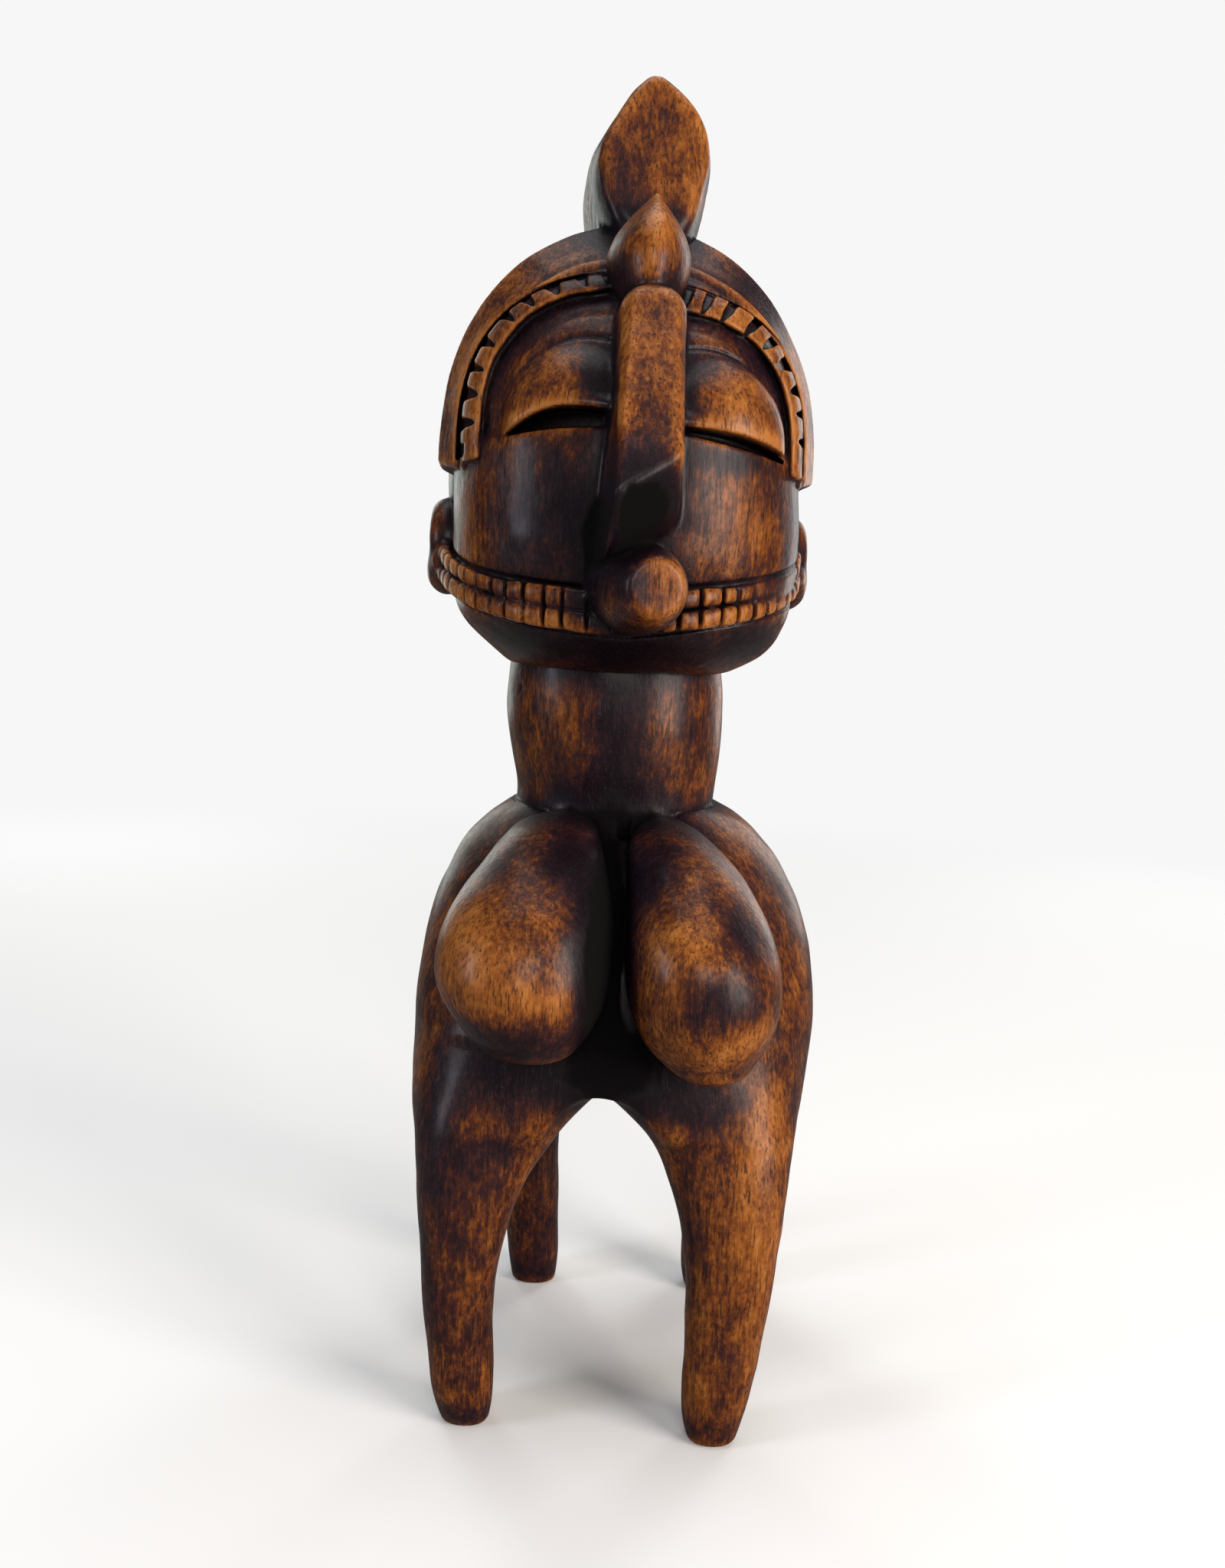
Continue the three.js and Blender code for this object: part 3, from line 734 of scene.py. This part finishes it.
def carve_skull(head, swell):
    """The front and the back of the head, fused, then shared out. Returns the form of the front."""
    g = head.grid
    face = evened(loft(g, FACE, power=2.25, soft=3), g.step)
    cranium = both(evened(loft(g, CRANIUM, power=2.2, soft=3), g.step), -11 - g.y, 2)
    skull = merge(face, cranium, 1.5)

    # A shallow channel runs round the lids, inside the notched hairline.
    off = hairline(g, np.where(g.x < 0, HAIRLINE_LEFT, HAIRLINE_RIGHT))
    channel = both(both(np.abs(off + 6.4) - 2.6, g.y + 24, 2), -(face + 1.2), 2)
    skull = cut(skull, both(channel, 289 - g.z, 3), 3)
    head.form = (skull + swell).astype(np.float32)
    for name, low, high in (
        ("face", (*HEAD_LOW[:2], JAW_TOP - MARGIN), (HEAD_HIGH[0], FACE_PLANE + MARGIN, HEAD_HIGH[2])),
        ("cranium", (HEAD_LOW[0], FACE_PLANE - MARGIN, JAW_TOP - MARGIN), HEAD_HIGH),
        ("chin", HEAD_LOW, (*HEAD_HIGH[:2], JAW_TOP + MARGIN)),
    ):
        w, place = head.window(low, high)
        ahead, below = w.y - FACE_PLANE, JAW_TOP - w.z
        share = {"face": both(ahead, below, SHARP), "cranium": both(-ahead, below, SHARP), "chin": -below}
        own = both(head.form[place], share[name], SHARP)
        head.parts[name] = (own.astype(np.float32), place)
    return face


def side_span(side):
    """The lowest and the highest x of a form on one side of the head."""
    return (HEAD_LOW[0], 0.5) if side < 0 else (-0.5, HEAD_HIGH[0])


def carve_hood(head, side, name, swell):
    """One side of the hood of hair, which opens out backwards from a fine ridge beside the hairline."""
    x0, x1 = side_span(side)
    w, place = head.window((x0, -44, 268), (x1, 8, 364))
    back = np.clip((w.y + 33) / 15, -0.3, 1)
    across, up = np.abs(w.x - 0.3), np.maximum(w.z - HOOD_SPRING, 0)
    wide = 48.4 + (7.8 if side < 0 else 6.8) * back
    radial = evened(oval(across, up, wide, 51 + 15.5 * back, 2.08), w.step)
    front = -(w.y + 33) - 0.12 * radial
    end = 280.5 + 0.4 * np.maximum(across - 48, 0) - w.z
    hood = both(both(radial, front, 1.0), w.y + 1.5, 3)
    hood = both(hood, end, 1.6)
    hood = both(hood, -radial - 9, 0.5)
    lip = both(np.hypot(radial - 0.1, w.y + 32.6) - 1.5, 283 - w.z, 2)
    hood = merge(hood, lip, 0.6)
    hood = cut(hood, np.hypot(radial - 0.9, w.y + 29.2) - 1.2, 1.2)
    head.add("headdress_rim_" + name, hood + swell[place] * 0.8, place, 0.4)


def carve_hairline(head, side, name, face, swell, lumps):
    """One side of the hairline, a raised band that is notched from its outer edge."""
    x0, x1 = side_span(side)
    w, place = head.window((x0, -60, 276), (x1, -18, 342))
    f = face[place]
    rise = np.arctan2(np.maximum(w.z - HOOD_SPRING, 0), np.abs(w.x))
    width = 2.7 if side < 0 else 2.7 + 1.3 * np.clip(rise - 0.2, 0, 1)
    off = hairline(w, HAIRLINE_LEFT if side < 0 else HAIRLINE_RIGHT)
    raised = both(f - 2.3 + 0.3 * np.maximum(-off, 0), np.abs(off) - width, 1.2)
    raised = both(raised, 282.5 - w.z, 2)
    raised = both(raised + 0.35 * lumps[place], -(f + 4), 0.5)
    head.add("hair_band_" + name, raised + swell[place], place, 0.6)
    gutter = both(np.abs(off - width - 0.7) - 0.7, -(f + 1.2), 0.7)
    head.trim(both(gutter, 284 - w.z, 1), place, 0.6)
    near = notch_phase(rise * 47 + 1.5, 7.3 if side < 0 else 7.0, 0.7 * side)
    reach = -1.3 if side < 0 else -3.8 * np.clip(rise * 1.5 - 0.3, 0, 1)
    wedge = near - 0.45 - 0.3 * np.clip(off - reach, 0, 3.4)
    knife = both(both(wedge, reach - off, 0.5), off - width - 1.2, 0.4)
    knife = both(both(knife, -(f + 0.5), 0.5), f - 4, 0.4)
    head.trim(both(knife, 284 - w.z, 1), place, 0.35)


def carve_crest(head, face, swell):
    """The fin over the head, with a flat front and fine combed lines on its two sides."""
    w, place = head.window((-26, -40, 288), (28, 70, 402))
    crest = evened(loft(w, CREST, power=3.2, soft=2), w.step)
    facet = plane(w, (0, -27.5, 352), (0.06, -1, 0.24))
    crest = both(crest, facet, 2.6)
    comb = np.sin((w.z + 0.55 * w.y) * 1.55) * 0.22 * np.clip((w.y + 16) / 8, 0, 1)
    head.add("crest", crest + comb + swell[place], place, 1.0)
    head.trim(np.hypot(crest, face[place] - 6) - 0.7, place, 1)


def carve_eye(head, side, name, face, swell):
    """A bulging lid over its slit. The two sides are carved a little differently."""
    x0, x1 = (-46, -4) if side < 0 else (4, 46)
    w, place = head.window((x0, -72, 276), (x1, -24, 324))
    f, out = face[place], np.abs(w.x)
    if side < 0:
        edge = 296 - 0.025 * np.maximum(out - 19.5, 0)**2 - 0.0085 * np.maximum(19.5 - out, 0)**2
        under = 291.4 - 0.0035 * np.maximum(out - 10, 0)**2
        middle, rise = (14.5, 291.5), 24
        dome = ball(w, (-14.5, -45, 291.5), (22.6, 17.6, rise))
    else:
        edge = 291.9 - 0.0055 * np.maximum(out - 12, 0)**2
        under = 290.6 - 0.148 * (out - 12.7)
        middle, rise = (17.2, 289.5), 24.6
        dome = ball(w, (17.2, -44.5, 289.5), (24, 18.2, rise))
    lip = both(np.hypot(w.z - edge - 2.0, f - 1.6) - 1.9, out - (35 if side < 0 else 39), 2)
    lid = merge(dome, lip, 2.2)
    lid = both(lid, edge - w.z, 1.2)
    lid = both(lid, -(f + 3), 0.5)
    head.add("eyelid_" + name, lid + swell[place], place, 1.0)
    socket = both(under - w.z, w.z - edge - 0.4, 0.5)
    socket = both(socket, out - (37.5 if side < 0 else 42), 1)
    socket = both(socket, -(f + 5), 1)
    head.trim(socket, place, 0.7)
    # The knife's line that follows the lid.
    ring = np.hypot((out - middle[0]) / 23.6, (w.z - middle[1]) / (rise + 0.4)) - 1
    line = both(np.hypot(ring * 23, f) - 0.6, 287 - w.z, 1)
    head.trim(line, place, 0.7)


def carve_rows(head, face, swell):
    """The two rows of blocks that run from ear to ear under the mouth."""
    w, place = head.window((-66, -70, 228), (66, 36, 276))
    f = face[place]
    angle = np.arctan2(w.x, -w.y)
    right = np.maximum(angle, 0)
    level = w.z - (ROW_LEVEL + ROW_RISE * (1 - np.cos(angle)) + 3.2 * (1 - np.exp(-2.6 * right)))
    radial = oval(w.x, w.y, 56, 63, 2)
    ends = (np.abs(angle) - 1.76) * 50
    lumps = lattice_noise(head.grid, 4.6, 23)[place]
    middle, start = w.shape[0] // 2, place[0].start
    for lift, height in ((2.9, "upper"), (-2.9, "lower")):
        row = both(radial + 0.10 * (level - lift)**2, np.abs(level - lift) - 2.72, 1.3)
        row = both(row, -radial - 10, 0.5)
        near = notch_phase(angle * 57, 5.9, 1.9 if lift > 0 else 2.3)
        wedge = near - 0.3 - 0.17 * np.clip(radial + 2.6, 0, 3)
        row = cut(row, both(wedge, -(radial + 2.6), 0.5), 0.7)
        for side, name in SIDES:
            half = slice(0, middle + 6) if side < 0 else slice(middle - 6, w.shape[0])
            own = both(row + swell[place] + 0.22 * lumps, ends, 1)
            own = both(own, -side * w.x, SHARP)[half]
            spot = (slice(start + half.start, start + half.stop), place[1], place[2])
            head.add(f"jaw_row_{height}_{name}", own, spot, 0.4)
    for edge in (5.75, -5.75):
        groove = np.hypot(level - edge, f + 0.2) - 0.95
        head.trim(both(groove, (np.abs(angle) - 1.7) * 40, 2), place, 0.8)


def carve_ear(head, side, name, face, swell):
    """A thick ring, with a lobe that meets the jaw's rows."""
    x0, x1 = (-66, -42) if side < 0 else (42, 66)
    w, place = head.window((x0, -16, 240), (x1, 28, 284))
    middle, out = 261, 53 if side < 0 else 53.2
    ey, ez = w.y - 6, (w.z - middle) / 1.15
    ring = np.hypot(ey, ez)
    ear = np.hypot(ring - 8.6, (np.abs(w.x) - out) * 0.8) - 4.3
    lobe = rod(w, (side * (out + 0.6), 2, middle - 8), (side * (out + 0.8), -7, middle - 5), 4.6, 3.2)
    ear = merge(both(ear, ey - 10, 2), lobe, 4)
    ear = both(ear, -(face[place] + 5), 0.5)
    head.add("ear_" + name, ear + swell[place], place, 1.4)


def carve_nose(head, swell):
    """A long bar with chamfered edges, cut off slantwise at its hooked tip."""
    w, place = head.window((-22, -98, 256), (22, -30, 338))
    middle = 2.0 - 2.2 * (332 - w.z) / 66
    half = 7.3 + 2.1 * np.clip((330 - w.z) / 56, 0, 1)**1.3
    front = plane(w, (0, -62.5, 327), (0, -1, 0.50))
    hump = plane(w, (0, -88.6, 283), (0, -1, 0.12))
    tip = plane(w, (-10.1, -88, 268.6), (0.54, -0.74, -0.55))
    under = plane(w, (-3, -80, 263), (0.55, -0.25, -0.8))
    sides = np.abs(w.x - middle) - half - 0.08 * (w.y + 76)
    chamfer = (np.abs(w.x - middle) - half + front * 0.9 + 1.4) / 1.35
    nose = both(both(front, hump, 5), sides, 1.6)
    nose = both(both(nose, chamfer, 0.8), w.z - 329.2 + 0.05 * (w.x - middle)**2, 4)
    nose = both(both(nose, under, 3), tip, 2.2)
    nose = both(nose, w.y + 34, 0.5)
    head.add("nose", nose + swell[place] * 0.8, place, 1.6)


def carve_knob(head, swell):
    """The bud in front of the crest."""
    w, place = head.window((-18, -68, 312), (22, -14, 364))
    knob = evened(loft(w, FOREHEAD_KNOB, power=1.75, soft=1.6), w.step)
    head.add("forehead_knob", knob + swell[place] * 0.8, place, 1.0)


def carve_mouth(head, swell):
    """A round stub that points forward and narrows to a flat end."""
    w, place = head.window((-22, -92, 230), (24, -40, 272))
    start, end = np.array((-2.2, -50.0, 249.5)), np.array((3.9, -82.6, 249.6))
    run = (end - start) / np.linalg.norm(end - start)
    t = (w.x - start[0]) * run[0] + (w.y - start[1]) * run[1] + (w.z - start[2]) * run[2]
    dx, dy, dz = (a - start[i] - t * run[i] for i, a in enumerate((w.x, w.y, w.z)))
    off = np.sqrt(dx * dx + dy * dy + dz * dz)
    radius = curve((0, 10, 17, 23, 28, 33.2), (12.2, 12.4, 12.2, 11.3, 9.7, 7.3), t)
    mouth = both((off - radius) * 0.94, t - 32.8, 1.5)
    mouth = both(mouth, -t - 4, 0.5)
    head.add("mouth", mouth + swell[place] * 0.7, place, 0.8)


# ---------------------------------------------------------------- wood


# The Mix node holds sockets for every kind of data under the same names: these are the ones for colours.
MIX_COLOURS, MIX_RESULT = (0, 6, 7), 2
WOOD_TONES = (
    (0.0, (0.005, 0.002, 0.0045)),
    (0.2, (0.016, 0.0055, 0.009)),
    (0.42, (0.05, 0.0135, 0.0075)),
    (0.62, (0.13, 0.037, 0.007)),
    (0.82, (0.24, 0.078, 0.013)),
    (1.0, (0.36, 0.135, 0.03)),
)
VESSEL_TONE = (0.010, 0.004, 0.003)
FIBRE_TONE = (0.9, 0.62, 0.42)
# The near-black of the deepest stain and of painted shade in creases.
GRIME_AND_SHADE_TONE = (0.0015, 0.001, 0.0012)


class Nodes:
    """A shader being wired up, with short names for the nodes the wood is made of."""

    def __init__(self, tree):
        self.tree = tree

    def put(self, socket, value):
        """Links a socket into another, or sets its value."""
        if isinstance(value, bpy.types.NodeSocket):
            self.tree.links.new(value, socket)
        else:
            socket.default_value = value

    def attribute(self, name):
        made = self.tree.nodes.new("ShaderNodeAttribute")
        made.attribute_name = name
        return made.outputs["Fac"]

    def stretched(self, vector, scale):
        """The same coordinates, scaled along each axis."""
        made = self.tree.nodes.new("ShaderNodeMapping")
        self.put(made.inputs["Vector"], vector)
        made.inputs["Scale"].default_value = scale
        return made.outputs["Vector"]

    def noise(self, vector, scale, detail=3, rough=0.55, warp=0):
        made = self.tree.nodes.new("ShaderNodeTexNoise")
        self.put(made.inputs["Vector"], vector)
        for name, value in (("Scale", scale), ("Detail", detail), ("Roughness", rough), ("Distortion", warp)):
            made.inputs[name].default_value = value
        return made.outputs["Fac"]

    def math(self, kind, a, b=0.0, c=0.0):
        made = self.tree.nodes.new("ShaderNodeMath")
        made.operation = kind
        for socket, value in zip(made.inputs, (a, b, c)):
            self.put(socket, value)
        return made.outputs["Value"]

    def span(self, value, low, high, start=0.0, end=1.0):
        """Eases from start to end as the value goes from low to high."""
        made = self.tree.nodes.new("ShaderNodeMapRange")
        made.interpolation_type = "SMOOTHSTEP"
        for name, given in (("Value", value), ("From Min", low), ("From Max", high)):
            self.put(made.inputs[name], given)
        for name, given in (("To Min", start), ("To Max", end)):
            self.put(made.inputs[name], given)
        return made.outputs["Result"]

    def ramp(self, value, stops):
        """Colours at places from 0 to 1, blended in between."""
        made = self.tree.nodes.new("ShaderNodeValToRGB")
        self.put(made.inputs["Fac"], value)
        band = made.color_ramp
        while len(band.elements) < len(stops):
            band.elements.new(0.5)
        for element, (at, colour) in zip(band.elements, stops):
            element.position, element.color = at, (*colour, 1)
        return made.outputs["Color"]

    def mix(self, amount, a, b, kind="MIX"):
        """Colour a turned into colour b, or multiplied by it, by an amount from 0 to 1."""
        made = self.tree.nodes.new("ShaderNodeMix")
        made.data_type, made.blend_type = "RGBA", kind
        for place, value in zip(MIX_COLOURS, (amount, a, b)):
            self.put(made.inputs[place], value if isinstance(value, bpy.types.NodeSocket) else (*value, 1))
        return made.outputs[MIX_RESULT]


def wood_material():
    """Waxed honey-coloured wood under a dark stain, which is rubbed off the high places, with painted shade
    in the hollows and creases and painted highlights in a few patches.
    """
    material = bpy.data.materials.new("waxed_carved_wood")
    material.use_nodes = True
    tree = material.node_tree
    shader = tree.nodes["Principled BSDF"]
    n = Nodes(tree)
    at = tree.nodes.new("ShaderNodeTexCoord").outputs["Object"]
    hollow, stain_shade_and_highlight = n.attribute("hollow"), n.attribute("stain_shade_and_highlight")

    # The patterns run from broad clouds to fine lines, and most are drawn out along the grain.
    cloud = n.noise(at, 42, 3, 0.6, 0.4)
    blotch = n.noise(n.stretched(at, (1, 1, 0.5)), 190, 5, 0.66, 0.3)
    speck = n.noise(n.stretched(at, (1, 1, 0.6)), 760, 4, 0.72)
    fibre = n.noise(n.stretched(at, (1, 1, 0.11)), 800, 4, 0.62)
    vessel = n.noise(n.stretched(at, (1, 1, 0.085)), 1700, 2, 0.5)

    # How dark the wood turns, from the stain and from the painted shade and painted highlights of the patches
    # and hollows: rubbed wood and painted highlight below -0.8, nearly black above 1.
    depth = n.math("MULTIPLY_ADD", cloud, 1.2, -0.42)
    depth = n.math("ADD", depth, stain_shade_and_highlight)
    for pattern, much, back in ((blotch, 1.15, -0.57), (speck, 1.3, -0.65), (fibre, 0.9, -0.45)):
        depth = n.math("ADD", depth, n.math("MULTIPLY_ADD", pattern, much, back))
    worn = n.span(n.math("MULTIPLY", hollow, -1.0), 0.05, 0.2)
    depth = n.math("SUBTRACT", depth, n.math("MULTIPLY", worn, 0.3))
    tone = n.span(depth, 1.05, -0.85)

    colour = n.ramp(tone, WOOD_TONES)
    line = n.span(vessel, 0.575, 0.66)
    colour = n.mix(n.math("MULTIPLY", line, 0.7), colour, VESSEL_TONE)
    colour = n.mix(n.span(fibre, 0.35, 0.7, 0.0, 0.35), colour, FIBRE_TONE, "MULTIPLY")
    # Painted shade: the fine creases turn nearly black, and so do the places where stain and painted shade
    # run deepest.
    crease_shade = n.span(hollow, 0.08, 0.24)
    grime_and_shade = n.math("MAXIMUM", crease_shade, n.span(n.math("MULTIPLY_ADD", blotch, 1.2, stain_shade_and_highlight), 1.65, 2.25))
    colour = n.mix(grime_and_shade, colour, GRIME_AND_SHADE_TONE)
    n.put(shader.inputs["Base Color"], colour)

    rough = n.span(depth, -0.6, 0.9, 0.38, 0.44)
    rough = n.math("ADD", rough, n.math("MULTIPLY_ADD", speck, 0.14, -0.07))
    rough = n.math("ADD", rough, n.math("MULTIPLY", grime_and_shade, 0.5))
    n.put(shader.inputs["Roughness"], rough)
    n.put(shader.inputs["Coat Weight"], n.span(grime_and_shade, 0.0, 0.8, 0.13, 0.0))
    shader.inputs["Specular IOR Level"].default_value = 0.13
    shader.inputs["Coat Roughness"].default_value = 0.22

    # The relief that is too fine for the mesh: fibres, pits and sunken vessel lines.
    height = n.math("MULTIPLY_ADD", fibre, 0.5, n.math("MULTIPLY", line, -0.7))
    height = n.math("MULTIPLY_ADD", speck, 0.7, height)
    height = n.math("MULTIPLY_ADD", blotch, 1.1, height)
    bump = tree.nodes.new("ShaderNodeBump")
    bump.inputs["Strength"].default_value = 0.5
    bump.inputs["Distance"].default_value = 0.0004
    n.put(bump.inputs["Height"], height)
    n.put(shader.inputs["Normal"], bump.outputs["Normal"])
    return material


# ---------------------------------------------------------------- the camera and the studio

SENSOR, LENS = 36, 31.640625
CAMERA_PLACE = Vector((0, -434.5, 242.7))  # in the carver's frame
CAMERA_TIP, CAMERA_ROLL = math.radians(90 - 7.06), math.radians(2.7)
# The room and the floor are dim in reflections, and pale to the camera.
ROOM, BACKDROP = (0.05, 0.05, 0.052), (0.93, 0.93, 0.93)
FLOOR_LIT, FLOOR_SEEN = (0.3, 0.29, 0.28), (0.9, 0.9, 0.9)
FLOOR_REACH = 4.0
FLOOR_GAP = 0.0002  # keeps the floor clear of the soles


def camera():
    """A camera in front of the figure, a little above its middle and tipped slightly down."""
    data = bpy.data.cameras.new("camera")
    data.sensor_width = SENSOR
    data.lens = LENS
    view = bpy.data.objects.new("camera", data)
    bpy.context.scene.collection.objects.link(view)
    turned = Matrix.Rotation(CAMERA_TIP, 4, "X") @ Matrix.Rotation(CAMERA_ROLL, 4, "Z")
    view.matrix_world = Matrix.Translation(PLACE + CAMERA_PLACE * MM) @ turned
    bpy.context.scene.camera = view


def area_light(name, at, aim, size, power, color=(1, 1, 1)):
    """A soft box that the camera doesn't see."""
    data = bpy.data.lights.new(name, "AREA")
    data.shape = "RECTANGLE"
    data.size, data.size_y = size
    data.energy = power
    data.color = color
    lamp = bpy.data.objects.new(name, data)
    lamp.location = at
    lamp.visible_camera = False
    lamp.rotation_euler = (Vector(aim) - Vector(at)).to_track_quat("-Z", "Y").to_euler()
    bpy.context.scene.collection.objects.link(lamp)


def floor_material():
    """A matt floor that fades out towards the backdrop."""
    pale = bpy.data.materials.new("pale_floor")
    pale.use_nodes = True
    tree = pale.node_tree
    n = Nodes(tree)
    shader = tree.nodes["Principled BSDF"]
    seen = tree.nodes.new("ShaderNodeLightPath").outputs["Is Camera Ray"]
    n.put(shader.inputs["Base Color"], n.mix(seen, FLOOR_LIT, FLOOR_SEEN))
    shader.inputs["Roughness"].default_value = 0.9
    shader.inputs["Specular IOR Level"].default_value = 0.1
    place = tree.nodes.new("ShaderNodeTexCoord").outputs["Object"]
    length = tree.nodes.new("ShaderNodeVectorMath")
    length.operation = "LENGTH"
    n.put(length.inputs[0], place)
    n.put(shader.inputs["Alpha"], n.span(length.outputs["Value"], 0.22, 1.3, 1.0, 0.0))
    return pale


def lay_floor():
    """The floor under the soles."""
    mesh = bpy.data.meshes.new("floor")
    corners = [(x * FLOOR_REACH, y * FLOOR_REACH, 0) for x, y in ((-1, -1), (1, -1), (1, 1), (-1, 1))]
    mesh.from_pydata(corners, [], [(0, 1, 2, 3)])
    mesh.materials.append(floor_material())
    floor = bpy.data.objects.new("floor", mesh)
    floor.location.z = cad_box[0][2] - FLOOR_GAP
    bpy.context.scene.collection.objects.link(floor)


def hang_backdrop():
    """The room all round the figure."""
    world = bpy.data.worlds.new("studio")
    world.use_nodes = True
    tree = world.node_tree
    n = Nodes(tree)
    seen = tree.nodes.new("ShaderNodeLightPath").outputs["Is Camera Ray"]
    n.put(tree.nodes["Background"].inputs["Color"], n.mix(seen, ROOM, BACKDROP))
    bpy.context.scene.world = world
    bpy.context.scene.view_settings.view_transform = "Standard"


def hang_lamps():
    """Soft boxes: a window on each side, one in front, a card behind each shoulder and one overhead."""
    middle = (0, 0, 0.24)
    area_light("window_right", (0.95, -0.75, 0.42), middle, (0.6, 0.8), 18, (1.0, 0.91, 0.84))
    area_light("front", (0.15, -1.5, 0.75), middle, (0.7, 0.5), 10, (1.0, 0.95, 0.90))
    area_light("window_left", (-1.05, -0.5, 0.40), middle, (0.25, 0.5), 4.5, (0.86, 0.90, 1.0))
    area_light("card_left", (-0.62, 1.05, 0.5), middle, (0.4, 0.9), 3.6, (0.90, 0.96, 0.90))
    area_light("card_right", (0.7, 1.0, 0.5), middle, (0.4, 0.9), 4, (0.95, 0.95, 0.92))
    area_light("overhead", (0.0, 0.1, 1.9), (0, 0, 0), (1.6, 1.6), 20)


wood = wood_material()
carve_body(wood)
carve_head(wood)
camera()
lay_floor()
hang_backdrop()
hang_lamps()
